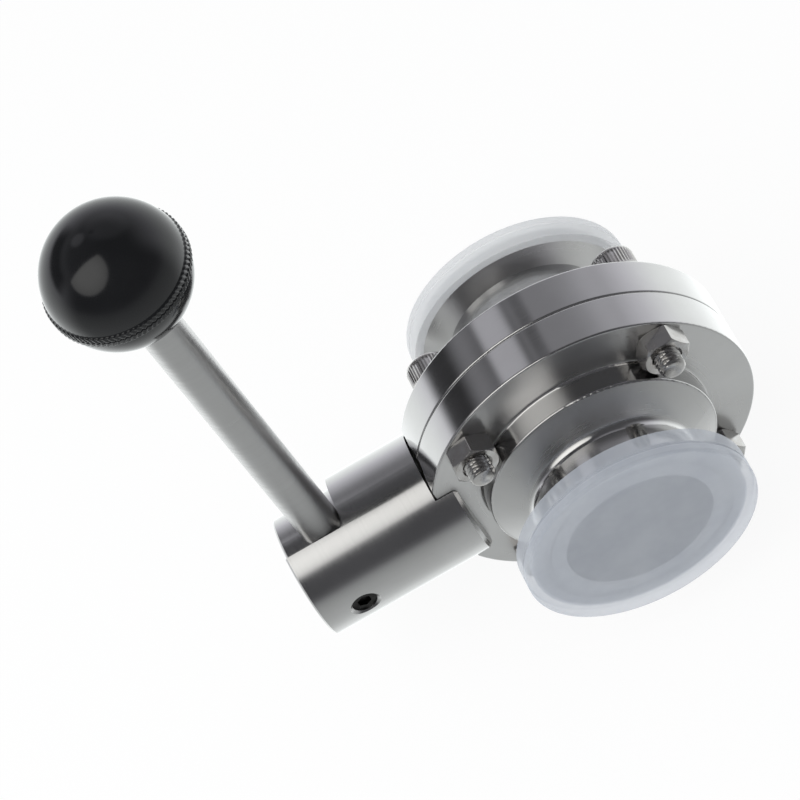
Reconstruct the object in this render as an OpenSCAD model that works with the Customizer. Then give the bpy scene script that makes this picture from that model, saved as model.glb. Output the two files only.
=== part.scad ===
// Sanitary butterfly valve with clamp ferrules, a side hub and a ball-knob lever.
// Units are millimetres. The pipe axis runs along Y and the stem axis along X.
// The centre of the front port's sealing face is the origin, and the lever stands up along Z.

/* [Ports] */
// Bore of the pipe line
bore_d = 34.8; // [33:0.1:36]
// Distance between the two ferrule faces
face_to_face = 68.5; // [68:0.5:80]
// Outer diameter of a ferrule
ferrule_d = 50.5; // [49.5:0.1:51.5]
// Width of a ferrule's rim at its edge
ferrule_rim = 2.85; // [2:0.05:3.5]
// Slope of the ferrule's back, in degrees
ferrule_slope = 20; // [15:1:25]
// Wall of the neck behind a ferrule
neck_wall = 1.65; // [1.5:0.05:2.2]
// Diameter of the gasket groove's centre line
gasket_d = 43.5; // [42.5:0.1:44]
// Radius of the gasket groove's section
gasket_r = 0.8; // [0.5:0.1:1]

/* [Body] */
// Outer diameter of the bolted flanges
flange_d = 78; // [78:0.5:84]
// Thickness of one flange
flange_t = 9.6; // [9.6:0.1:11]
// Gap between the round boss on a flange and the flats of a nut
boss_to_nut = 0.9; // [0.8:0.1:1.5]
// Height of the boss's straight side above the flange
boss_h = 5.7; // [4:0.1:7]
// Height of the boss's conical shoulder
shoulder_h = 3.6; // [2:0.1:4.2]
// Radius of the fillet between the shoulder and the neck
neck_fillet = 2.4; // [1.5:0.1:3]
// Radius of the fillet between a boss and its flange
boss_fillet = 0.6; // [0.3:0.1:0.8]
// Radius on the edges of the flanges and bosses
edge_round = 0.5; // [0.3:0.1:0.8]
// Chamfer on the other turned edges
edge_chamfer = 0.4; // [0.2:0.1:0.6]

/* [Flange bolts] */
// Number of bolts
bolt_count = 4; // [4:1:4]
// Distance from a bolt's centre to the flange's rim
bolt_edge = 5.8; // [5.8:0.1:6.5]
// Thread diameter of a bolt
bolt_d = 6; // [5:0.5:6]
// Radial clearance of a bolt in its hole
bolt_gap = 0.3; // [0.2:0.1:0.5]
// Length of a bolt under its head
bolt_len = 28; // [27:0.5:30]
// Diameter of a bolt's head
bolt_head_d = 10; // [8.5:0.5:10.5]
// Height of a bolt's head
bolt_head_h = 6; // [5:0.5:7]
// Width across the flats of the bolt's socket
bolt_socket = 5; // [4:0.5:5]
// Depth of the bolt's socket
bolt_socket_depth = 3; // [2:0.5:4]
// Width across the flats of a nut
nut_af = 10; // [8:0.5:10]
// Height of a nut
nut_h = 5; // [4:0.5:6]

/* [Seat and disc] */
// Outer diameter of the seat ring
seat_d = 46; // [45:0.5:47]
// How far the seat ring stands into the bore
seat_grip = 0.4; // [0.3:0.05:0.6]
// Width of the seat ring along the pipe
seat_w = 16; // [12:0.5:16.5]
// Thickness of the disc
disc_t = 5; // [4:0.5:7]
// Radial gap between the disc's edge and the seat
disc_gap = 0.3; // [0.2:0.05:0.5]
// Diameter of the ball-shaped middle of the disc
disc_hub_d = 19; // [17:0.5:22]
// Metal over the stem at the middle of the disc
disc_skin = 0.8; // [0.5:0.1:1.5]

/* [Stem] */
// Diameter of the stem
stem_d = 12; // [11:0.5:12]
// Radial running clearance of the stem
stem_gap = 0.05; // [0.02:0.01:0.08]
// Wall of a stem bush
bush_wall = 2; // [1.5:0.1:2.5]
// Gap between a bush's inner end and the seat ring
bush_gap = 0.3; // [0.2:0.1:1]
// Metal between a bush's outer end and the flange's rim
bush_cover = 5.7; // [5:0.1:7]
// Width of the square that drives the stem
square_w = 9; // [8:0.5:9.5]
// Gap between the stem's end and the end washer
stem_end_gap = 1.2; // [0.7:0.1:3]
// Thickness of an O-ring's section
o_ring_t = 1.7; // [1.5:0.1:1.8]

/* [Hub sleeve] */
// Outer diameter of the hub sleeve
hub_d = 32; // [30:0.5:33]
// Wall of the hub sleeve
hub_wall = 2.4; // [2:0.1:2.8]
// Depth of the flat on the flange rims where the hub sits
pad_depth = 3.4; // [3:0.1:4]
// Distance from that flat to the sleeve's outer end
hub_reach = 36; // [34.9:0.1:40]
// Gap between that flat and the floor of the sleeve's slot
saddle_gap = 0.6; // [0.3:0.1:1]
// Gap between a flange's face and the sleeve's tab
tab_gap = 0.15; // [0.1:0.05:0.3]
// Length of the tabs past the slot's floor
tab_len = 5.2; // [4:0.1:6]
// Thickness of the sleeve's inner floor
hub_floor = 3.2; // [2.5:0.1:4]
// Length of the window along the stem
window_len = 15.2; // [14.5:0.1:17]
// Radius in the window's corners
window_r = 1.5; // [0.5:0.1:2]
// Thickness of the thrust washer
thrust_t = 1; // [0.5:0.1:1.5]

/* [Retaining screw] */
// Thread diameter of the retaining screw
retainer_d = 6; // [5:0.5:6]
// Diameter of the screw's dog point
dog_d = 4; // [3:0.5:4]
// Depth of the screw's head below the hub's surface
retainer_sink = 1; // [0.5:0.1:1.2]
// Gap between the dog point and the sides of its groove
groove_gap = 0.25; // [0.2:0.05:0.4]
// Depth of the groove in the drive block
groove_depth = 2.4; // [2:0.1:3]

/* [Lever] */
// Distance from the sleeve's outer end to the lever rod
lever_inset = 10; // [9.2:0.1:10.2]
// Diameter of the rod at the hub
rod_base_d = 9.8; // [9.6:0.1:10.9]
// Diameter of the rod at the knob
rod_tip_d = 9.6; // [7.5:0.1:9.6]
// Distance from the stem axis to the knob's centre
knob_at = 120.7; // [100:0.1:140]
// Diameter of the ball knob
knob_d = 30.5; // [28:0.5:36]
// Width of the grip band around the knob
band_w = 3.4; // [2:0.1:5]
// Height of the grip band over the ball
band_h = 0.4; // [0.2:0.1:0.6]
// Distance from the knob's centre to its flat
knob_flat_at = 12.5; // [11:0.1:13.5]
// Diameter of the threaded insert in the knob
insert_d = 9.4; // [9:0.1:11]
// Length of that insert
insert_len = 15; // [12:0.5:18]
// Thread diameter of the rod's end in the insert
tip_thread_d = 6; // [5:0.5:7]
// Angle of the handle's full turn, in degrees
turn = 90; // [90:1:90]

/* [End screw] */
// Thread diameter of the end screw
end_screw_d = 5; // [4:0.5:5]
// Length of the end screw's thread
end_screw_len = 10; // [8:0.5:12]
// Diameter of the end screw's head
end_head_d = 8.5; // [7:0.5:9.5]
// Height of the end screw's head
end_head_h = 3; // [2:0.1:3.5]
// Thickness of the end washer
end_washer_t = 1.2; // [0.8:0.1:1.5]
// Depth of the pocket that hides the end screw
end_pocket = 6; // [5:0.1:6.5]
// Diameter of that pocket
end_pocket_d = 13.4; // [12.5:0.1:13.6]

/* [Port caps] */
// Thickness of a cap's skirt
cap_wall = 2.13; // [1.4:0.01:2.5]
// Thickness of a cap's face
cap_t = 1.9; // [1:0.1:2]
// Length of a cap's skirt over the ferrule
cap_skirt = 4.2; // [3.5:0.1:4.6]
// Clearance between a cap and its ferrule
cap_gap = 0.12; // [0.1:0.01:0.3]
// Radius on the cap's front edge
cap_edge_r = 0.8; // [0.5:0.1:1.4]
// Depth of the groove between the cap's skirt and its face
cap_groove = 0.35; // [0.2:0.05:0.5]

/* [Hidden] */

// Rounds are drawn finely, and small cut rings keep this count too.
$fn = 96;
// A little extra length for cutters
eps = 1;

port_h = face_to_face / 2;
bore_r = bore_d / 2;
seat_bore_r = bore_r - seat_grip;
neck_r = bore_r + neck_wall;
ferrule_r = ferrule_d / 2;
boss_top = flange_t + boss_h;
ferrule_back = port_h - ferrule_rim;
ferrule_root = ferrule_back - (ferrule_r - neck_r) * tan(ferrule_slope);

flange_r = flange_d / 2;
bolt_circle_r = flange_r - bolt_edge;
boss_r = bolt_circle_r - nut_af / 2 - boss_to_nut;

stem_r = stem_d / 2;
bush_r = stem_r + bush_wall;
bush_start = seat_d / 2 + bush_gap;
bush_end = flange_r - bush_cover;
o_ring_at = (bush_start + bush_end) / 2;
trunnion_end = bush_end - 0.6;

pad_x = flange_r - pad_depth;
hub_end = pad_x + hub_reach;
lever_at = hub_end - lever_inset;
slot_floor = pad_x + saddle_gap;
hub_start = slot_floor - tab_len;
hub_r = hub_d / 2;
hub_bore_r = hub_r - hub_wall;
floor_top = slot_floor + hub_floor;
block_r = hub_bore_r - stem_gap;
block_start = floor_top + thrust_t + 0.2;
square_start = block_start - 0.3;
pocket_floor = hub_end - end_pocket;
square_end = pocket_floor - stem_end_gap;
window_start = hub_end - window_len;
rod_r = rod_base_d / 2;
rod_gap = 0.15;
window_side = rod_r + rod_gap;
rod_foot = 8.6;
knob_r = knob_d / 2;
knob_flat = knob_at - knob_flat_at;
retainer_r = retainer_d / 2;
dog_r = dog_d / 2;
bolt_tip = bolt_len - flange_t;

// Angle that a nut is turned about its own bolt, so no two look alike
nut_turns = [45, 38, 8, 15];

// Puts the pipe axis along Z, with the valve's centre at zero. side 1 is the rear, -1 the front.
module along_pipe(side) {
    translate([0, port_h, 0])
        rotate([-90 * side, 0, 0])
            children();
}

// Puts the stem axis along Z, pointing out to the hub, with the lever's rest direction along X.
module along_stem() {
    translate([0, port_h, 0])
        rotate([0, -90, 0])
            children();
}

// The same, on the far side of the pipe
module along_trunnion() {
    translate([0, port_h, 0])
        rotate([0, 90, 0])
            children();
}

// Places a child at every bolt, with its number in $bolt. side is as for along_pipe.
module at_bolts(side) {
    along_pipe(side)
        for (i = [0 : bolt_count - 1]) {
            angle = side * (45 + i * 360 / bolt_count);
            rotate(angle)
                translate([bolt_circle_r, 0, 0]) {
                    $bolt = i;
                    children();
                }
        }
}

// A disc or shaft along Z with a chamfer at each end
module turned(r, from, to, c_from = 0, c_to = 0) {
    rotate_extrude()
        polygon([
            [0, from], [r - c_from, from], [r, from + c_from],
            [r, to - c_to], [r - c_to, to], [0, to]
        ]);
}

// Section of one body half, radius along X and distance from the seam along Y
module half_section() {
    c = edge_chamfer;
    difference() {
        union() {
            rounded_slab(flange_r, flange_t);
            translate([0, flange_t / 2])
                rounded_slab(boss_r, boss_top - flange_t / 2);
            boss_fillet_section();
            shoulder_section();
            square([neck_r, port_h]);
            polygon([
                [0, ferrule_root], [neck_r, ferrule_root], [ferrule_r, ferrule_back],
                [ferrule_r, port_h - c], [ferrule_r - c, port_h], [0, port_h]
            ]);
        }
        translate([-eps, -eps])
            square([bore_r + eps, port_h + 2 * eps]);
        translate([-eps, -eps])
            square([seat_d / 2 + eps, seat_w / 2 + eps]);
        translate([gasket_d / 2, port_h])
            circle(gasket_r, $fn = 48);
    }
}

// Section of a disc from the seam outwards, with round outer edges
module rounded_slab(r, h) {
    e = edge_round;
    square([r - e, h]);
    translate([0, e])
        square([r, h - 2 * e]);
    for (y = [e, h - e])
        translate([r - e, y])
            circle(e);
}

// Fillet from the flange's face to the boss
module boss_fillet_section() {
    r = boss_r + boss_fillet;
    top = flange_t + boss_fillet;
    difference() {
        translate([0, flange_t / 2])
            square([r, top - flange_t / 2]);
        translate([r, top])
            circle(boss_fillet);
    }
}

// Cone on top of the boss, with a fillet that runs smoothly into the neck
module shoulder_section() {
    start_r = boss_r - edge_round;
    slope = atan(shoulder_h / (start_r - neck_r - 1));
    r = neck_r + neck_fillet;
    top = boss_top + (neck_fillet + (start_r - r) * sin(slope)) / cos(slope);
    difference() {
        polygon([
            [0, boss_top], [start_r, boss_top],
            [r - neck_fillet * sin(slope), top - neck_fillet * cos(slope)],
            [r, top], [0, top]
        ]);
        translate([r, top])
            circle(neck_fillet);
    }
}

module body_half(side) {
    color("silver")
        difference() {
            along_pipe(side)
                rotate_extrude()
                    half_section();
            at_bolts(side)
                translate([0, 0, -eps])
                    cylinder(r = bolt_d / 2 + bolt_gap, h = flange_t + 2 * eps);
            along_stem() {
                cylinder(r = bush_r, h = bush_end);
                cylinder(r = stem_r + 2 * stem_gap, h = flange_d);
                // Flat on the rim where the hub sits
                translate([-flange_d, -flange_d, pad_x])
                    cube([2 * flange_d, 2 * flange_d, flange_d]);
            }
            along_trunnion()
                cylinder(r = bush_r, h = bush_end);
        }
}

module front_body_half() body_half(-1);

module rear_body_half() body_half(1);

// Rubber seat between the halves, pierced for the stem
module seat_ring() {
    color("white")
        difference() {
            along_pipe(1)
                rotate_extrude()
                    translate([seat_bore_r, -seat_w / 2])
                        square([seat_d / 2 - seat_bore_r, seat_w]);
            along_stem()
                translate([0, 0, -seat_d])
                    cylinder(r = stem_r + stem_gap, h = 2 * seat_d);
        }
}

// Ring groove for an O-ring at distance z along the shaft
module o_ring_groove(z) {
    w = o_ring_t + 0.5;
    translate([0, 0, z - w / 2])
        rotate_extrude()
            translate([stem_r - o_ring_t, 0])
                square([o_ring_t + eps, w]);
}

// Section of the disc, radius along X and thickness along Y, with a ball-shaped middle
module disc_section() {
    hub_t = stem_d + 2 * disc_skin;
    intersection() {
        union() {
            intersection() {
                circle(seat_bore_r - disc_gap);
                translate([0, -disc_t / 2])
                    square([bore_d, disc_t]);
            }
            intersection() {
                circle(disc_hub_d / 2);
                translate([0, -hub_t / 2])
                    square([bore_d, hub_t]);
            }
        }
        translate([0, -bore_d])
            square(2 * bore_d);
    }
}

// Disc, its trunnion and its stem in one piece, closed across the bore
module valve_disc() {
    color("silver") {
        difference() {
            union() {
                along_pipe(1)
                    rotate_extrude()
                        disc_section();
                along_stem()
                    turned(stem_r, 0, square_start);
                along_stem()
                    intersection() {
                        translate([-square_w / 2, -square_w / 2, 0])
                            cube([square_w, square_w, square_end]);
                        turned(stem_r, 0, square_end, 0, edge_chamfer);
                    }
                along_trunnion()
                    turned(stem_r, 0, trunnion_end, 0, edge_chamfer);
            }
            along_stem() {
                o_ring_groove(o_ring_at);
                translate([0, 0, square_end - end_screw_len])
                    cylinder(r = end_screw_d / 2, h = end_screw_len + eps);
            }
            along_trunnion()
                o_ring_groove(o_ring_at);
        }
    }
}

// Plastic bush between the stem and the body
module bush() {
    color("ivory")
        difference() {
            turned(bush_r, bush_start, bush_end);
            cylinder(r = stem_r + stem_gap, h = bush_end + eps);
        }
}

module upper_bush() along_stem() bush();

module lower_bush() along_trunnion() bush();

module o_ring() {
    color("dimgray")
        translate([0, 0, o_ring_at])
            rotate_extrude()
                translate([stem_r - o_ring_t / 2, 0])
                    circle(o_ring_t / 2 - 0.01, $fn = 32);
}

module stem_o_rings() {
    along_stem()
        o_ring();
    along_trunnion()
        o_ring();
}

// Cutter for the window's side whose edge lies along X
module window_slot() {
    linear_extrude(hub_d)
        translate([-window_side, window_start])
            union() {
                translate([window_r, 0])
                    square([hub_d, window_len + eps]);
                translate([0, window_r])
                    square([hub_d, window_len + eps]);
                translate([window_r, window_r])
                    circle(window_r);
            }
}

// Quarter-round window that the rod swings through
module window_cut() {
    // Edge beside the rod at rest
    rotate([90, 0, 90])
        window_slot();
    // Edge beside the rod after its full turn
    mirror([0, 1, 0])
        rotate([90, 0, 0])
            window_slot();
}

// Fixed sleeve that straddles the flange rims and guides the drive block
module hub_sleeve() {
    tab_half = flange_t + tab_gap;
    color("silver")
        along_stem()
            difference() {
                turned(hub_r, hub_start, hub_end, 2 * edge_chamfer, edge_chamfer);
                translate([-hub_d, -tab_half, hub_start - eps])
                    cube([2 * hub_d, 2 * tab_half, tab_len + eps]);
                cylinder(r = stem_r + 2 * stem_gap, h = hub_end);
                translate([0, 0, floor_top])
                    cylinder(r = hub_bore_r, h = hub_end);
                window_cut();
                translate([0, 0, lever_at])
                    rotate([90, 0, 0]) {
                        cylinder(r = retainer_r, h = hub_d);
                        translate([0, 0, hub_r - 0.7])
                            cylinder(r1 = retainer_r, r2 = retainer_r + 1, h = 1);
                    }
            }
}

module thrust_washer() {
    color("ivory")
        along_stem()
            difference() {
                turned(hub_bore_r - 0.1, floor_top, floor_top + thrust_t);
                cylinder(r = stem_r + 2 * stem_gap, h = hub_end);
            }
}

// Groove that lets the block turn past the retaining screw
module retainer_groove() {
    half_w = dog_r + groove_gap;
    margin = asin(half_w / block_r) + 3;
    translate([0, 0, lever_at - half_w])
        rotate(-90 - turn - margin)
            rotate_extrude(angle = turn + 2 * margin)
                translate([block_r - groove_depth, 0])
                    square([groove_depth + eps, 2 * half_w]);
}

// Turning block that joins the lever rod to the stem
module drive_block() {
    color("lightgray")
        along_stem()
            difference() {
                turned(block_r, block_start, hub_end, edge_chamfer, edge_chamfer);
                translate([-square_w / 2, -square_w / 2, block_start - eps])
                    cube([square_w, square_w, pocket_floor - block_start + 2 * eps]);
                translate([0, 0, pocket_floor])
                    cylinder(r = end_pocket_d / 2, h = end_pocket + eps);
                translate([rod_foot, 0, lever_at])
                    rotate([0, 90, 0])
                        cylinder(r = rod_r, h = hub_d);
                retainer_groove();
            }
}

// Hexagon prism along Z
module hexagon(af, h) {
    cylinder(r = af / sqrt(3), h = h, $fn = 6);
}

// Dog-point set screw in the sleeve's wall
module retaining_screw() {
    head = hub_r - retainer_sink;
    color("dimgray")
        along_stem()
            translate([0, 0, lever_at])
                rotate([90, 0, 0])
                    difference() {
                        union() {
                            translate([0, 0, hub_bore_r])
                                cylinder(r = retainer_r, h = head - hub_bore_r);
                            translate([0, 0, block_r - groove_depth + groove_gap])
                                cylinder(r = dog_r, h = groove_depth);
                        }
                        translate([0, 0, head - 1])
                            hexagon(retainer_r, 1 + eps);
                    }
}

module end_washer() {
    color("silver")
        along_stem()
            difference() {
                turned(end_pocket_d / 2 - 0.2, pocket_floor, pocket_floor + end_washer_t);
                cylinder(r = end_screw_d / 2, h = hub_end);
            }
}

// Screw that draws the drive block onto the stem
module end_screw() {
    seat = pocket_floor + end_washer_t;
    color("silver")
        along_stem()
            difference() {
                union() {
                    turned(end_screw_d / 2, square_end - end_screw_len, seat);
                    turned(end_head_d / 2, seat, seat + end_head_h, 0, edge_chamfer);
                }
                translate([0, 0, seat + end_head_h / 2])
                    hexagon(3, end_head_h);
            }
}

// Tapered rod, seated in the block and screwed into the knob's insert
module lever_rod() {
    color("gray")
        along_stem()
            translate([0, 0, lever_at])
                rotate([0, 90, 0])
                    rotate_extrude()
                        polygon([
                            [0, rod_foot], [rod_r, rod_foot], [rod_r, block_r],
                            [rod_tip_d / 2, knob_flat], [tip_thread_d / 2, knob_flat],
                            [tip_thread_d / 2, knob_flat + insert_len - 2],
                            [0, knob_flat + insert_len - 2]
                        ]);
}

// Puts the rod's axis along Z, with the stem axis at zero
module along_rod() {
    translate([-lever_at, port_h, 0])
        children();
}

module knob() {
    band_r = knob_r + band_h;
    color([0.05, 0.05, 0.05])
        along_rod()
            difference() {
                union() {
                    translate([0, 0, knob_at])
                        sphere(knob_r);
                    turned(band_r, knob_at - band_w / 2, knob_at + band_w / 2, band_h, band_h);
                }
                translate([0, 0, knob_flat - knob_d])
                    cylinder(r = knob_d, h = knob_d);
                cylinder(r = insert_d / 2, h = knob_flat + insert_len);
            }
}

module knob_insert() {
    color("goldenrod")
        along_rod()
            difference() {
                turned(insert_d / 2, knob_flat, knob_flat + insert_len);
                cylinder(r = tip_thread_d / 2, h = knob_flat + insert_len - 2);
            }
}

// Cap screws, entered from the rear
module flange_bolts() {
    color("silver")
        at_bolts(1)
            difference() {
                union() {
                    turned(bolt_d / 2, -bolt_tip, flange_t, bolt_d / 10);
                    turned(bolt_head_d / 2, flange_t, flange_t + bolt_head_h, 0, 2 * edge_chamfer);
                }
                translate([0, 0, flange_t + bolt_head_h - bolt_socket_depth])
                    hexagon(bolt_socket, bolt_socket_depth + eps);
            }
}

module flange_nuts() {
    color("silver")
        at_bolts(-1)
            translate([0, 0, flange_t])
                rotate(nut_turns[$bolt])
                    difference() {
                        intersection() {
                            hexagon(nut_af, nut_h);
                            turned(nut_af / sqrt(3), 0, nut_h, nut_af / 12, nut_af / 12);
                        }
                        translate([0, 0, -eps])
                            cylinder(r = bolt_d / 2, h = nut_h + 2 * eps);
                    }
}

// Plastic dust cap over a ferrule
module port_cap(side) {
    inner_r = ferrule_r + cap_gap;
    r = inner_r + cap_wall;
    face = port_h + cap_gap + cap_t;
    skirt_end = port_h - cap_skirt;
    groove_at = port_h - cap_groove;
    color([0.85, 0.87, 0.9, 0.7])
        along_pipe(side)
            rotate_extrude()
                difference() {
                    union() {
                        translate([0, skirt_end])
                            square([r, face - cap_edge_r - skirt_end]);
                        translate([0, skirt_end])
                            square([r - cap_edge_r, face - skirt_end]);
                        translate([r - cap_edge_r, face - cap_edge_r])
                            circle(cap_edge_r);
                    }
                    translate([-eps, skirt_end - eps])
                        square([inner_r + eps, cap_skirt + cap_gap + eps]);
                    translate([r, groove_at])
                        circle(cap_groove, $fn = 32);
                }
}

module front_cap() port_cap(-1);

module rear_cap() port_cap(1);

front_body_half();
rear_body_half();
seat_ring();
valve_disc();
upper_bush();
lower_bush();
stem_o_rings();
hub_sleeve();
thrust_washer();
drive_block();
retaining_screw();
end_screw();
end_washer();
lever_rod();
knob();
knob_insert();
flange_bolts();
flange_nuts();
front_cap();
rear_cap();
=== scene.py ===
import math

import bmesh
import bpy
from mathutils import Matrix, Vector


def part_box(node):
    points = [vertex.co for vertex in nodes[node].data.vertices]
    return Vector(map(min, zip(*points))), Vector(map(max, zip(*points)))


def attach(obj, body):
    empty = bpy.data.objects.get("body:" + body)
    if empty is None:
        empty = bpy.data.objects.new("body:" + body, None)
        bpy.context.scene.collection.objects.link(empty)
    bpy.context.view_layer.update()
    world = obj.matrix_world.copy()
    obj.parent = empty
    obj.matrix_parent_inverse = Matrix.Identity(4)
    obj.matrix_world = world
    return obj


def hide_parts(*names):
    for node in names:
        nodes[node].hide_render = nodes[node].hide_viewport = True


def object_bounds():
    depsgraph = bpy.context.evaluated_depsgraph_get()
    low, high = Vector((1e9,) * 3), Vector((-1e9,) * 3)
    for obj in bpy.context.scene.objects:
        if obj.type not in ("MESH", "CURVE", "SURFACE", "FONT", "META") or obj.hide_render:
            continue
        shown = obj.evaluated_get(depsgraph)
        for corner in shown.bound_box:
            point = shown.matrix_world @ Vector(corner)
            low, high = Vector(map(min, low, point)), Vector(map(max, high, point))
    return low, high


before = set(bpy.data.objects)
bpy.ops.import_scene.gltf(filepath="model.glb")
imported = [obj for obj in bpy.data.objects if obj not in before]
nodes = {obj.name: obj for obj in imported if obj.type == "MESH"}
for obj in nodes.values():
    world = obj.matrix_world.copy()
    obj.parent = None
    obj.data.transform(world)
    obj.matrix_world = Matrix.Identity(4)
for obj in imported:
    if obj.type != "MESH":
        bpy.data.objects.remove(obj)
cad_low, cad_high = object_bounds()
scene = bpy.context.scene

MM = 0.001

# Sizes that the dressed fasteners share with the CAD.
BOLT_CIRCLE = 33.2 * MM
SEAM = 34.25 * MM
FLANGE = 9.6 * MM
BOLT_ANGLES = (-45, -135, 135, 45)
VALVE_CENTRE = Vector((0, SEAM, 0))


# ---------------------------------------------------------------- node helpers
class Nodes:
    """A short way to write a node tree."""

    def __init__(self, tree):
        self.tree = tree
        tree.nodes.clear()

    def add(self, kind, inputs=None, **settings):
        node = self.tree.nodes.new(kind)
        for name, value in settings.items():
            setattr(node, name, value)
        for name, value in (inputs or {}).items():
            self.put(node.inputs[name], value)
        return node

    def put(self, socket, value):
        if isinstance(value, bpy.types.NodeSocket):
            self.tree.links.new(value, socket)
        else:
            socket.default_value = value

    def math(self, operation, *values):
        node = self.add("ShaderNodeMath", operation=operation)
        for i, value in enumerate(values):
            self.put(node.inputs[i], value)
        return node.outputs[0]

    def plus(self, a, b):
        return self.math("ADD", a, b)

    def times(self, a, b):
        return self.math("MULTIPLY", a, b)

    def span(self, value, low, high, to_low=0.0, to_high=1.0, smooth=False):
        """value carried from low..high to to_low..to_high, and held at both ends."""
        kind = "SMOOTHSTEP" if smooth else "LINEAR"
        node = self.add("ShaderNodeMapRange", interpolation_type=kind)
        for i, v in enumerate((value, low, high, to_low, to_high)):
            self.put(node.inputs[i], v)
        return node.outputs[0]

    def mix(self, factor, a, b):
        node = self.add("ShaderNodeMix", data_type="RGBA")
        self.put(node.inputs[0], factor)
        self.put(node.inputs[6], a)
        self.put(node.inputs[7], b)
        return node.outputs[2]

    def blend(self, factor, a, b):
        """Mix of two shaders."""
        node = self.add("ShaderNodeMixShader", {0: factor})
        self.put(node.inputs[1], a)
        self.put(node.inputs[2], b)
        return node.outputs[0]

    def split(self, vector):
        node = self.add("ShaderNodeSeparateXYZ")
        self.put(node.inputs[0], vector)
        return list(node.outputs)

    def join(self, x, y):
        node = self.add("ShaderNodeCombineXYZ")
        self.put(node.inputs[0], x)
        self.put(node.inputs[1], y)
        return node.outputs[0]

    def place(self):
        return self.add("ShaderNodeTexCoord").outputs["Object"]

    def noise(self, vector, scale, detail=3.0, rough=0.55):
        node = self.add("ShaderNodeTexNoise", {"Scale": scale, "Detail": detail, "Roughness": rough})
        self.put(node.inputs["Vector"], vector)
        return node.outputs["Fac"]

    def dot(self, vector, other):
        node = self.add("ShaderNodeVectorMath", operation="DOT_PRODUCT")
        self.put(node.inputs[0], vector)
        node.inputs[1].default_value = other
        return node.outputs["Value"]

    def ramp(self, value, stops):
        """Straight lines through stops, which are pairs of position and level."""
        node = self.add("ShaderNodeFloatCurve")
        curve = node.mapping.curves[0]
        for point, stop in zip(curve.points, stops):
            point.location = stop
        for stop in stops[2:]:
            curve.points.new(*stop)
        for point in curve.points:
            point.handle_type = "VECTOR"
        node.mapping.update()
        self.put(node.inputs["Value"], value)
        return node.outputs[0]

    def bump(self, height, distance, strength=1.0):
        node = self.add("ShaderNodeBump", {"Strength": strength, "Distance": distance})
        self.put(node.inputs["Height"], height)
        return node.outputs[0]

    def finish(self, shader, kind="ShaderNodeOutputMaterial"):
        out = self.add(kind)
        self.put(out.inputs[0], shader)


def new_material(name):
    material = bpy.data.materials.new(name)
    material.use_nodes = True
    return material, Nodes(material.node_tree)


def principled(n, **sockets):
    shader = n.add("ShaderNodeBsdfPrincipled")
    for name, value in sockets.items():
        n.put(shader.inputs[name.replace("_", " ")], value)
    return shader


def grey(v, warm=0.0):
    return (v * (1 + warm), v, v * (1 - warm), 1)


# ---------------------------------------------------------------- materials
def turned_metal(name, axis, centre, tone, rough, depth=0.0003 * MM, stretch=0.5, uneven=0.03):
    """Lathe-turned steel: fine rings about the axis, uneven polish, and ends rougher than sides."""
    ring = 0.5 * MM
    end_rough = 0.16
    material, n = new_material(name)
    place = n.place()
    moved = n.add("ShaderNodeVectorMath", operation="SUBTRACT")
    n.put(moved.inputs[0], place)
    moved.inputs[1].default_value = centre
    across = n.split(moved.outputs[0])
    along = across.pop("XYZ".index(axis))
    radius = n.math("SQRT", n.plus(n.times(across[0], across[0]), n.times(across[1], across[1])))
    rings = n.noise(n.join(radius, along), 1 / ring, 2.0, 0.6)
    cloud = n.noise(place, 55.0, 4.0, 0.6)
    specks = n.noise(place, 900.0, 3.0, 0.7)
    waves = n.noise(place, 30.0, 2.0, 0.5)

    colour = n.mix(n.span(cloud, 0.3, 0.7), grey(tone * 0.95, 0.008), grey(tone * 1.04, 0.004))
    colour = n.mix(n.span(specks, 0.68, 0.8, 0.0, 0.05), colour, grey(tone * 0.6, 0.03))

    normal = n.split(n.add("ShaderNodeTexCoord").outputs["Normal"])
    flat = n.math("ABSOLUTE", normal["XYZ".index(axis)])
    roughness = n.plus(
        n.span(rings, 0.3, 0.7, rough * 0.85, rough * 1.15),
        n.span(cloud, 0.35, 0.75, -0.3 * uneven, uneven),
    )
    roughness = n.plus(roughness, n.span(flat, 0.25, 0.95, 0.0, end_rough, smooth=True))

    height = n.plus(rings, n.times(waves, 3.0))
    shader = principled(n, Base_Color=colour, Metallic=1.0, Roughness=roughness, Normal=n.bump(height, depth))
    shader.inputs["Anisotropic"].default_value = stretch
    shader.inputs["Anisotropic Rotation"].default_value = 0.25
    tangent = n.add("ShaderNodeTangent", direction_type="RADIAL", axis=axis)
    n.put(shader.inputs["Tangent"], tangent.outputs[0])
    n.finish(shader.outputs[0])
    return material


def worn_metal(name, tone, rough, grime=0.4, warm=0.02, dent=0.02 * MM):
    """Plain machined metal with grime in patches and small dents."""
    material, n = new_material(name)
    place = n.place()
    cloud = n.noise(place, 420.0, 4.0, 0.65)
    fine = n.noise(place, 2600.0, 3.0, 0.6)
    clean = grey(tone, warm * 0.5)
    dirty = grey(tone * (1 - grime), warm * 2)
    colour = n.mix(n.span(cloud, 0.35, 0.7), clean, dirty)
    roughness = n.span(cloud, 0.3, 0.75, rough * 0.8, rough * 1.5)
    normal = n.bump(n.plus(cloud, n.times(fine, 0.4)), dent, 0.6)
    shader = principled(n, Base_Color=colour, Metallic=1.0, Roughness=roughness, Normal=normal)
    n.finish(shader.outputs[0])
    return material


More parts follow.
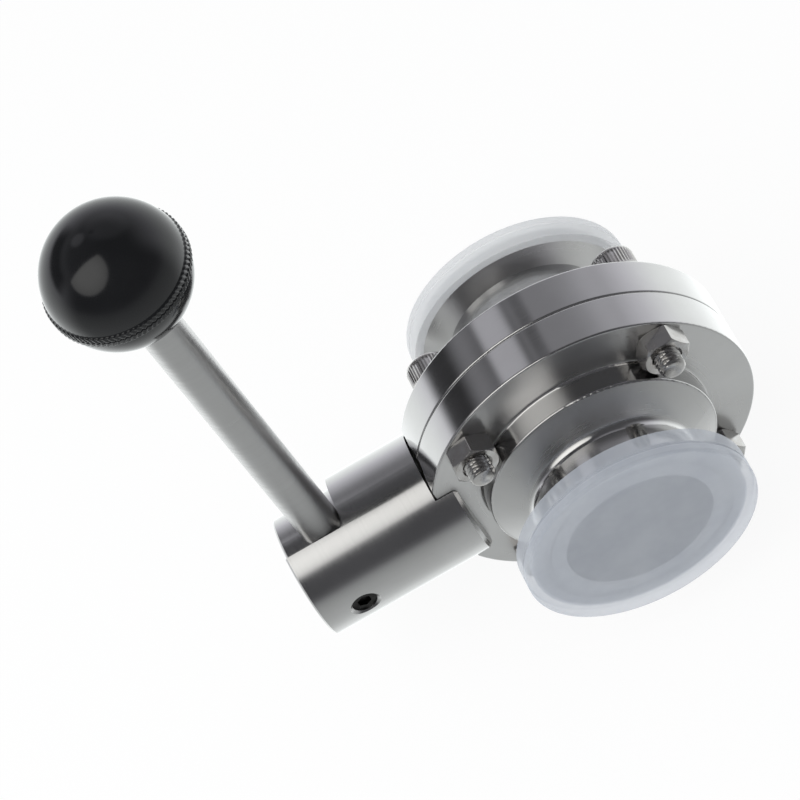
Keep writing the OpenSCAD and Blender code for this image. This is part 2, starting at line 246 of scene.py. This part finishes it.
def plastic(name, dark, light, rough, dent=0.012 * MM):
    """Moulded plastic or rubber with a faint mottled skin."""
    material, n = new_material(name)
    place = n.place()
    cloud = n.noise(place, 75.0, 3.0, 0.6)
    skin = n.noise(place, 1500.0, 3.0, 0.6)
    colour = n.mix(n.span(cloud, 0.3, 0.7), dark, light)
    roughness = n.plus(
        n.span(cloud, 0.3, 0.7, rough * 0.85, rough * 1.2),
        n.span(skin, 0.3, 0.7, -0.01, 0.02),
    )
    shader = principled(n, Base_Color=colour, Roughness=roughness, Normal=n.bump(skin, dent, 0.5))
    n.finish(shader.outputs[0])
    return material


def milky_plastic(name, solid, dark, light):
    """Thin milky polyethylene: part of the light goes straight through, and the rest is scattered."""
    rough = 0.40
    glow_share = 0.35
    material, n = new_material(name)
    place = n.place()
    cloud = n.noise(place, 70.0, 3.0, 0.6)
    skin = n.noise(place, 1400.0, 3.0, 0.6)
    colour = n.mix(n.span(cloud, 0.3, 0.7), dark, light)
    roughness = n.plus(
        n.span(cloud, 0.3, 0.7, rough * 0.85, rough * 1.2),
        n.span(skin, 0.3, 0.7, -0.02, 0.02),
    )
    scatter = principled(n, Base_Color=colour, Roughness=roughness, Normal=n.bump(skin, 0.008 * MM, 0.5))
    scatter.inputs["Specular IOR Level"].default_value = 0.4
    glow = n.add("ShaderNodeBsdfTranslucent", {0: colour})
    clear = n.add("ShaderNodeBsdfTransparent")
    milk = n.blend(glow_share, scatter.outputs[0], glow.outputs[0])
    edge = n.add("ShaderNodeLayerWeight", {"Blend": 0.35})
    amount = n.plus(
        n.span(edge.outputs["Facing"], 0.1, 0.8, solid, solid + 0.35),
        n.span(cloud, 0.3, 0.7, -0.02, 0.03),
    )
    n.finish(n.blend(amount, clear.outputs[0], milk))
    return material


rod_low, rod_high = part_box("lever_rod")
rod_centre = Vector(((rod_low.x + rod_high.x) / 2, (rod_low.y + rod_high.y) / 2, 0))
body_steel = turned_metal("body_steel", "Y", (0, 0, 0), 0.60, 0.13)
hub_steel = turned_metal("hub_steel", "X", VALVE_CENTRE, 0.60, 0.17, stretch=0.3, uneven=0.04)
disc_steel = turned_metal("disc_steel", "Y", (0, 0, 0), 0.62, 0.12)
rod_steel = turned_metal("rod_steel", "Z", rod_centre, 0.50, 0.34, depth=0.002 * MM, uneven=0.06)
screw_steel = worn_metal("screw_steel", 0.56, 0.20, grime=0.16, dent=0.004 * MM)
# Near-black steel for the retaining screw: a black-oxide finish that is also painted shade for the recess of
# the hole it sits in.
black_steel = worn_metal("black_steel", 0.035, 0.4, grime=0.3)
brass = worn_metal("brass", 0.5, 0.3, grime=0.3, warm=0.3)
rubber = plastic("rubber", grey(0.018), grey(0.028), 0.55)
seat_rubber = plastic("seat_rubber", grey(0.62), grey(0.70), 0.45)
bush_plastic = plastic("bush_plastic", grey(0.66, 0.03), grey(0.72, 0.03), 0.4)
knob_black = (0.0060, 0.0063, 0.0070, 1)
knob_sheen = (0.0085, 0.0088, 0.0097, 1)
knob_plastic = plastic("knob_plastic", knob_black, knob_sheen, 0.11, dent=0.003 * MM)
cap_plastic = milky_plastic("cap_plastic", 0.35, (0.68, 0.72, 0.79, 1), (0.74, 0.775, 0.83, 1))
# The caps are one milky plastic in two brightnesses: the rear cap's lighter copy is painted light, standing
# in for the light that falls on the rear cap.
rear_cap_painted_lighter = milky_plastic("rear_cap_painted_lighter", 0.55, (0.88, 0.90, 0.92, 1), (0.93, 0.94, 0.95, 1))

finish = {
    "front_body_half": body_steel,
    "rear_body_half": body_steel,
    "seat_ring": seat_rubber,
    "valve_disc": disc_steel,
    "upper_bush": bush_plastic,
    "lower_bush": bush_plastic,
    "stem_o_rings": rubber,
    "hub_sleeve": hub_steel,
    "thrust_washer": bush_plastic,
    "drive_block": hub_steel,
    # near-black screw: black-oxide finish plus painted shade of its hole
    "retaining_screw": black_steel,
    "end_screw": screw_steel,
    "end_washer": screw_steel,
    "lever_rod": rod_steel,
    "knob": knob_plastic,
    "knob_insert": brass,
    "flange_bolts": screw_steel,
    "flange_nuts": screw_steel,
    "front_cap": cap_plastic,
    # the rear cap gets the lighter copy of the cap plastic, with painted light
    "rear_cap": rear_cap_painted_lighter,
}
for name, material in finish.items():
    mesh = nodes[name].data
    mesh.materials.clear()
    mesh.materials.append(material)


# ---------------------------------------------------------------- pieces
def steps(start, end, count):
    return [start + (end - start) * i / count for i in range(count + 1)]


def zigzag(turns):
    """1 at whole numbers and 0 half-way between them."""
    return abs(2 * (turns % 1.0) - 1)


def lathe_solid(bm, rows, sides, place, radius_at, closed=False):
    """Adds a solid about local Z, with its radii changed by radius_at(radius, height, angle).

    rows are (radius, height), from pole to pole or, if closed, round the section of a ring.
    """
    rings = []
    for r, z in rows:
        if r == 0:
            rings.append([bm.verts.new(place @ Vector((0, 0, z)))])
            continue
        ring = []
        for i in range(sides):
            a = 2 * math.pi * i / sides
            s = radius_at(r, z, a)
            ring.append(bm.verts.new(place @ Vector((s * math.cos(a), s * math.sin(a), z))))
        rings.append(ring)
    after = rings[1:] + rings[:1] if closed else rings[1:]
    for near, far in zip(rings, after):
        for i in range(sides):
            j = (i + 1) % sides
            if len(near) == 1:
                bm.faces.new((near[0], far[j], far[i]))
            elif len(far) == 1:
                bm.faces.new((near[i], near[j], far[0]))
            else:
                bm.faces.new((near[i], near[j], far[j], far[i]))


def piece(name, bm, body, material, replaced, sharp):
    """Makes an object of the mesh, ties it to its body and puts it in a CAD node's place."""
    bmesh.ops.recalc_face_normals(bm, faces=bm.faces)
    mesh = bpy.data.meshes.new(name)
    bm.to_mesh(mesh)
    bm.free()
    mesh.materials.append(material)
    mesh.shade_smooth()
    mesh.set_sharp_from_angle(angle=math.radians(sharp))
    obj = bpy.data.objects.new(name, mesh)
    scene.collection.objects.link(obj)
    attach(obj, body)
    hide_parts(replaced)


def frame_at(x, y, z, out):
    """Matrix that puts local Z along out, with local X along the scene's X."""
    out = Vector(out)
    side = Vector((1, 0, 0))
    other = out.cross(side).normalized()
    return Matrix.Translation((x, y, z)) @ Matrix((side, other, out)).transposed().to_4x4()


def hexagon_radius(across_flats, a, corner_at):
    """Radius at angle a of a hexagon with a corner at corner_at degrees."""
    from_flat = (math.degrees(a) - corner_at) % 60 - 30
    return across_flats / 2 / math.cos(math.radians(from_flat))


def ball_knob():
    """Ball knob with a raised grip band of two rows of slanted teeth, and a bore for the insert."""
    band_rise = 0.4 * MM
    band_half = 1.7 * MM
    band_slope = 0.35 * MM
    groove_half = 0.22 * MM
    teeth = 84
    flat_round = 0.45 * MM

    low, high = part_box("knob")
    insert_low, insert_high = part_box("knob_insert")
    hole = (insert_high.x - insert_low.x) / 2
    band = (high.x - low.x) / 2
    ball = band - band_rise
    at = Vector(((low.x + high.x) / 2, (low.y + high.y) / 2, high.z - ball))
    flat = low.z - at.z
    hole_top = insert_high.z - at.z

    def knurled(r, z, a):
        if abs(z) >= band_half or r < 0.9 * ball:
            return r
        rise = min(1.0, (band_half - abs(z)) / band_slope)
        groove = min(1.0, abs(z) / groove_half)
        slant = zigzag(a * teeth / (2 * math.pi) + 0.5 * abs(z) / MM)
        tooth = 0.35 + 0.65 * min(1.0, 1.7 * slant)
        plain = ball * math.cos(math.asin(abs(z) / ball))
        return plain + band_rise * rise * tooth * (0.35 + 0.65 * groove)

    rows = [(0, ball)]
    for t in steps(0, math.radians(83.2), 59)[1:]:
        rows.append((ball * math.sin(t), ball * math.cos(t)))
    rows += [(math.sqrt(ball * ball - z * z), z) for z in steps(band_half, -band_half, 30)]
    for t in steps(math.asin(band_half / ball) + 0.01, math.asin(-flat / ball) - 0.05, 26):
        rows.append((ball * math.cos(t), -ball * math.sin(t)))
    rim = math.sqrt(ball * ball - flat * flat) - 0.1 * MM
    for t in steps(0, math.pi / 2, 5):
        rows.append((rim - 0.5 * MM * (1 - math.cos(t)), flat + flat_round * (1 - math.sin(t))))
    rows += [
        (hole + 0.5 * MM, flat),
        (hole + 0.05 * MM, flat + 0.4 * MM),
        (hole + 0.02 * MM, hole_top),
        (0, hole_top),
    ]
    bm = bmesh.new()
    lathe_solid(bm, rows, 420, Matrix.Translation(at), knurled)
    piece("ball_knob", bm, "handle", knob_plastic, "knob", 50)


def cap_screws():
    """Four M6 cap screws with a threaded tip, a knurled head and a hexagon socket."""
    pitch = 1.0 * MM
    shank_r = 3.0 * MM
    root_r = 2.3 * MM
    thread_deep = 0.56 * MM
    tip = -18.4 * MM
    thread_start = -(FLANGE + 3.6 * MM)
    head_r = 5.0 * MM
    head = FLANGE
    head_top = FLANGE + 6 * MM
    knurls = 40
    knurl_deep = 0.15 * MM
    socket = 5 * MM

    rows = [(0, tip), (2.0 * MM, tip), (2.3 * MM, tip + 0.08 * MM)]
    for z in steps(tip + 0.15 * MM, thread_start + 0.2 * MM, 50):
        rows.append((min(shank_r, 2.35 * MM + z - tip), z))
    rows += [(shank_r, head - 0.1 * MM), (shank_r, head)]
    rows += [(4.8 * MM, head), (head_r, head + 0.2 * MM), (head_r, head + 0.75 * MM)]
    rows += [(head_r, z) for z in steps(head + 0.95 * MM, head_top - 1.05 * MM, 6)]
    rows += [(head_r, head_top - 0.85 * MM), (4.9 * MM, head_top - 0.35 * MM)]
    rows += [(4.6 * MM, head_top - 0.06 * MM), (4.3 * MM, head_top), (3.1 * MM, head_top)]
    rows += [(2.9 * MM, head_top - 0.25 * MM), (2.9 * MM, head_top - 2.7 * MM)]
    rows += [(2.2 * MM, head_top - 3.0 * MM), (0, head_top - 3.4 * MM)]

    bm = bmesh.new()
    for number, angle in enumerate(BOLT_ANGLES):
        turn = 40 * number

        def shape(r, z, a, turn=turn):
            if z < thread_start and r > 1.9 * MM:
                wave = zigzag(z / pitch + (a + math.radians(turn)) / (2 * math.pi))
                fade = min(1.0, (thread_start - z) / (0.3 * MM))
                cut = thread_deep * fade * min(1.0, max(0.0, 1.25 * (wave - 0.12)))
                return max(min(r, shank_r - cut), min(r, root_r))
            if head + 0.8 * MM < z < head_top - 0.9 * MM and r > 4.9 * MM:
                return r - knurl_deep * (1 - zigzag(a * knurls / (2 * math.pi)))
            if 2.4 * MM < r < 2.95 * MM and z > head_top - 3.1 * MM:
                return hexagon_radius(socket, a, turn)
            return r

        round_by = math.radians(angle)
        x, z = BOLT_CIRCLE * math.cos(round_by), BOLT_CIRCLE * math.sin(round_by)
        lathe_solid(bm, rows, 240, frame_at(x, SEAM, z, (0, 1, 0)), shape)
    piece("cap_screws", bm, "valve_body", screw_steel, "flange_bolts", 40)


def hexagon_nuts():
    """Four M6 nuts with coned corners and a countersunk hole."""
    thick = 5 * MM
    across_flats = 10 * MM
    bore = 3.02 * MM
    face_r = 4.94 * MM
    cone = 1.7
    turns = (45, 38, 8, 15)

    rows = [(bore, 0.3 * MM), (3.3 * MM, 0), (4.5 * MM, 0)]
    heights = steps(0, 0.6 * MM, 10) + steps(0.8 * MM, 4.2 * MM, 4) + steps(4.4 * MM, thick, 12)
    rows += [(6 * MM, z) for z in heights]
    rows += [(4.5 * MM, thick), (3.55 * MM, thick), (3.1 * MM, 4.55 * MM), (bore, 4.5 * MM)]

    bm = bmesh.new()
    for angle, turn in zip(BOLT_ANGLES, turns):

        def shape(r, z, a, corner_at=angle + turn):
            if r < face_r:
                return r
            return min(hexagon_radius(across_flats, a, corner_at), face_r + min(z, thick - z) * cone)

        round_by = math.radians(angle)
        x, z = BOLT_CIRCLE * math.cos(round_by), BOLT_CIRCLE * math.sin(round_by)
        lathe_solid(bm, rows, 240, frame_at(x, SEAM - FLANGE, z, (0, -1, 0)), shape, closed=True)
    piece("hexagon_nuts", bm, "valve_body", screw_steel, "flange_nuts", 30)


ball_knob()
cap_screws()
hexagon_nuts()


# ---------------------------------------------------------------- stage
# Where the one round lamp hangs, in degrees.
LAMP_AZ = -60
LAMP_EL = 57
LAMP_LEVEL = 1.9
AMBIENT = 0.62


def direction(az, el):
    """Unit vector; azimuth 0 is the front (-Y) and 90 is +X."""
    a, e = math.radians(az), math.radians(el)
    return Vector((math.sin(a) * math.cos(e), -math.cos(a) * math.cos(e), math.sin(e)))


def white_floor():
    """A pale floor with the object's soft shadow. Mirror-like steel sees the studio instead."""
    half = 6.0
    glow_share = 0.9
    low = cad_low.z
    corners = [(-half, -half, low), (half, -half, low), (half, half, low), (-half, half, low)]
    mesh = bpy.data.meshes.new("floor")
    mesh.from_pydata(corners, [], [(0, 1, 2, 3)])
    floor = bpy.data.objects.new("floor", mesh)
    scene.collection.objects.link(floor)
    material, n = new_material("floor_white")
    seen = n.add("ShaderNodeEmission", {"Strength": 1.0})
    lit = n.add("ShaderNodeBsdfDiffuse", {"Color": grey(0.95)})
    n.finish(n.blend(glow_share, lit.outputs[0], seen.outputs[0]))
    mesh.materials.append(material)
    floor.visible_glossy = False
    floor.visible_volume_scatter = False


def soft_lamp():
    """A round soft light of a given radiance, aimed at the valve and left out of reflections."""
    away = 0.9
    radius = 0.5
    light = bpy.data.lights.new("key_box", "AREA")
    light.shape = "ELLIPSE"
    light.size = 2 * radius
    light.size_y = 2 * radius
    light.energy = LAMP_LEVEL * math.pi * math.pi * radius * radius
    lamp = bpy.data.objects.new("key_box", light)
    scene.collection.objects.link(lamp)
    towards = direction(LAMP_AZ, LAMP_EL)
    lamp.location = VALVE_CENTRE + towards * away
    lamp.rotation_euler = towards.to_track_quat("Z", "Y").to_euler()
    lamp.visible_glossy = False
    lamp.visible_volume_scatter = False


# Half the brightness of the room against height: 0 is straight down and 1 straight up.
ROOM_IN_FRONT = (
    (0.00, 0.47), (0.02, 0.40), (0.07, 0.33), (0.15, 0.29), (0.26, 0.26), (0.39, 0.21),
    (0.46, 0.16), (0.53, 0.07), (0.60, 0.045), (1.00, 0.04),
)
ROOM_BEHIND = (
    (0.00, 0.50), (0.02, 0.62), (0.12, 0.78), (0.18, 0.73), (0.25, 0.66), (0.33, 0.60),
    (0.42, 0.55), (0.50, 0.48), (0.56, 0.41), (0.63, 0.33), (0.70, 0.25), (0.76, 0.17),
    (0.82, 0.09), (0.87, 0.05), (1.00, 0.035),
)


def room_level(n, way, back, up):
    """How bright the room is in each direction: a pale table, darker above, with a stand and two patches."""
    def lobe(az, el, inner, outer):
        """1 within inner degrees of a direction, and 0 beyond outer."""
        edges = [math.cos(math.radians(angle)) for angle in (outer, inner)]
        return n.span(n.dot(way, direction(az, el)), *edges, smooth=True)

    def dimmed(level, where, share):
        return n.times(level, n.math("SUBTRACT", 1.0, n.times(where, share)))

    height = n.span(up, -1.0, 1.0)
    front = n.times(2.0, n.ramp(height, ROOM_IN_FRONT))
    rear = n.times(2.0, n.ramp(height, ROOM_BEHIND))
    behind = n.span(back, -0.35, 0.25, smooth=True)
    level = n.plus(dimmed(front, behind, 1.0), n.times(rear, behind))

    # a dark stand at the left rear
    heading = n.add("ShaderNodeVectorMath", operation="NORMALIZE")
    x, y, _ = n.split(way)
    n.put(heading.inputs[0], n.join(x, y))
    edges = [math.cos(math.radians(angle)) for angle in (40, 20)]
    stand = n.span(n.dot(heading.outputs[0], direction(-128, 0)), *edges, smooth=True)
    stand = n.times(stand, n.span(up, 0.04, 0.20, smooth=True))
    stand = n.times(stand, n.span(up, 0.62, 0.40, smooth=True))
    level = dimmed(level, stand, 0.93)

    # a broad dim patch, a small bright one beside it, and a narrow gap
    level = n.plus(level, n.times(lobe(152, 46, 16, 30), 0.17))
    level = n.plus(level, n.times(lobe(-154, 49, 6, 11), 0.43))
    level = dimmed(level, lobe(178, 53.5, 1.5, 5), 0.6)

    wide = n.times(lobe(LAMP_AZ, LAMP_EL, 4, 33), 0.5)
    disc = n.times(lobe(LAMP_AZ, LAMP_EL, 28, 32), 0.95)
    lamp = n.times(n.plus(wide, disc), n.span(back, 0.0, -0.06, smooth=True))
    return n.plus(level, lamp), lamp


def studio():
    """Reflections see the room and the lamp. The camera sees white, and soft light fills the rest."""
    world = bpy.data.worlds.new("studio")
    world.use_nodes = True
    scene.world = world
    n = Nodes(world.node_tree)
    way = n.add("ShaderNodeTexCoord").outputs["Generated"]
    _, back, up = n.split(way)
    level, lamp = room_level(n, way, back, up)

    below = (0.97, 1.0, 1.0, 1)
    above = (0.98, 0.98, 1.05, 1)
    warm = (1.0, 0.995, 0.97, 1)
    room_tint = n.mix(n.span(up, -0.2, 0.2), below, above)
    tint = n.mix(n.span(lamp, 0.0, 1.0), room_tint, warm)

    white = n.add("ShaderNodeBackground", {"Color": (1, 1, 1, 1), "Strength": 1.0})
    soft = n.add("ShaderNodeBackground", {"Color": (0.97, 0.985, 1, 1), "Strength": AMBIENT})
    room = n.add("ShaderNodeBackground", {"Color": tint, "Strength": level})
    path = n.add("ShaderNodeLightPath").outputs
    seen = n.math("MAXIMUM", path["Is Camera Ray"], path["Is Transmission Ray"])
    plain = n.blend(seen, soft.outputs[0], white.outputs[0])
    n.finish(n.blend(path["Is Glossy Ray"], plain, room.outputs[0]), "ShaderNodeOutputWorld")


white_floor()
soft_lamp()
studio()


# ---------------------------------------------------------------- camera
CAMERA_AT = (0.0196, -0.3602, 0.5752)
lens = bpy.data.cameras.new("camera")
lens.lens = 139.7
lens.sensor_width = 36.0
lens.clip_start = 0.01
lens.clip_end = 50
camera = bpy.data.objects.new("camera", lens)
scene.collection.objects.link(camera)
right = Vector((0.8654, -0.3615, -0.3469)).normalized()
back = Vector((0.0753, -0.5906, 0.8035))
back = (back - right * back.dot(right)).normalized()
up = back.cross(right)
camera.matrix_world = Matrix.Translation(CAMERA_AT) @ Matrix((right, up, back)).transposed().to_4x4()
scene.camera = camera

scene.view_settings.view_transform = "Standard"
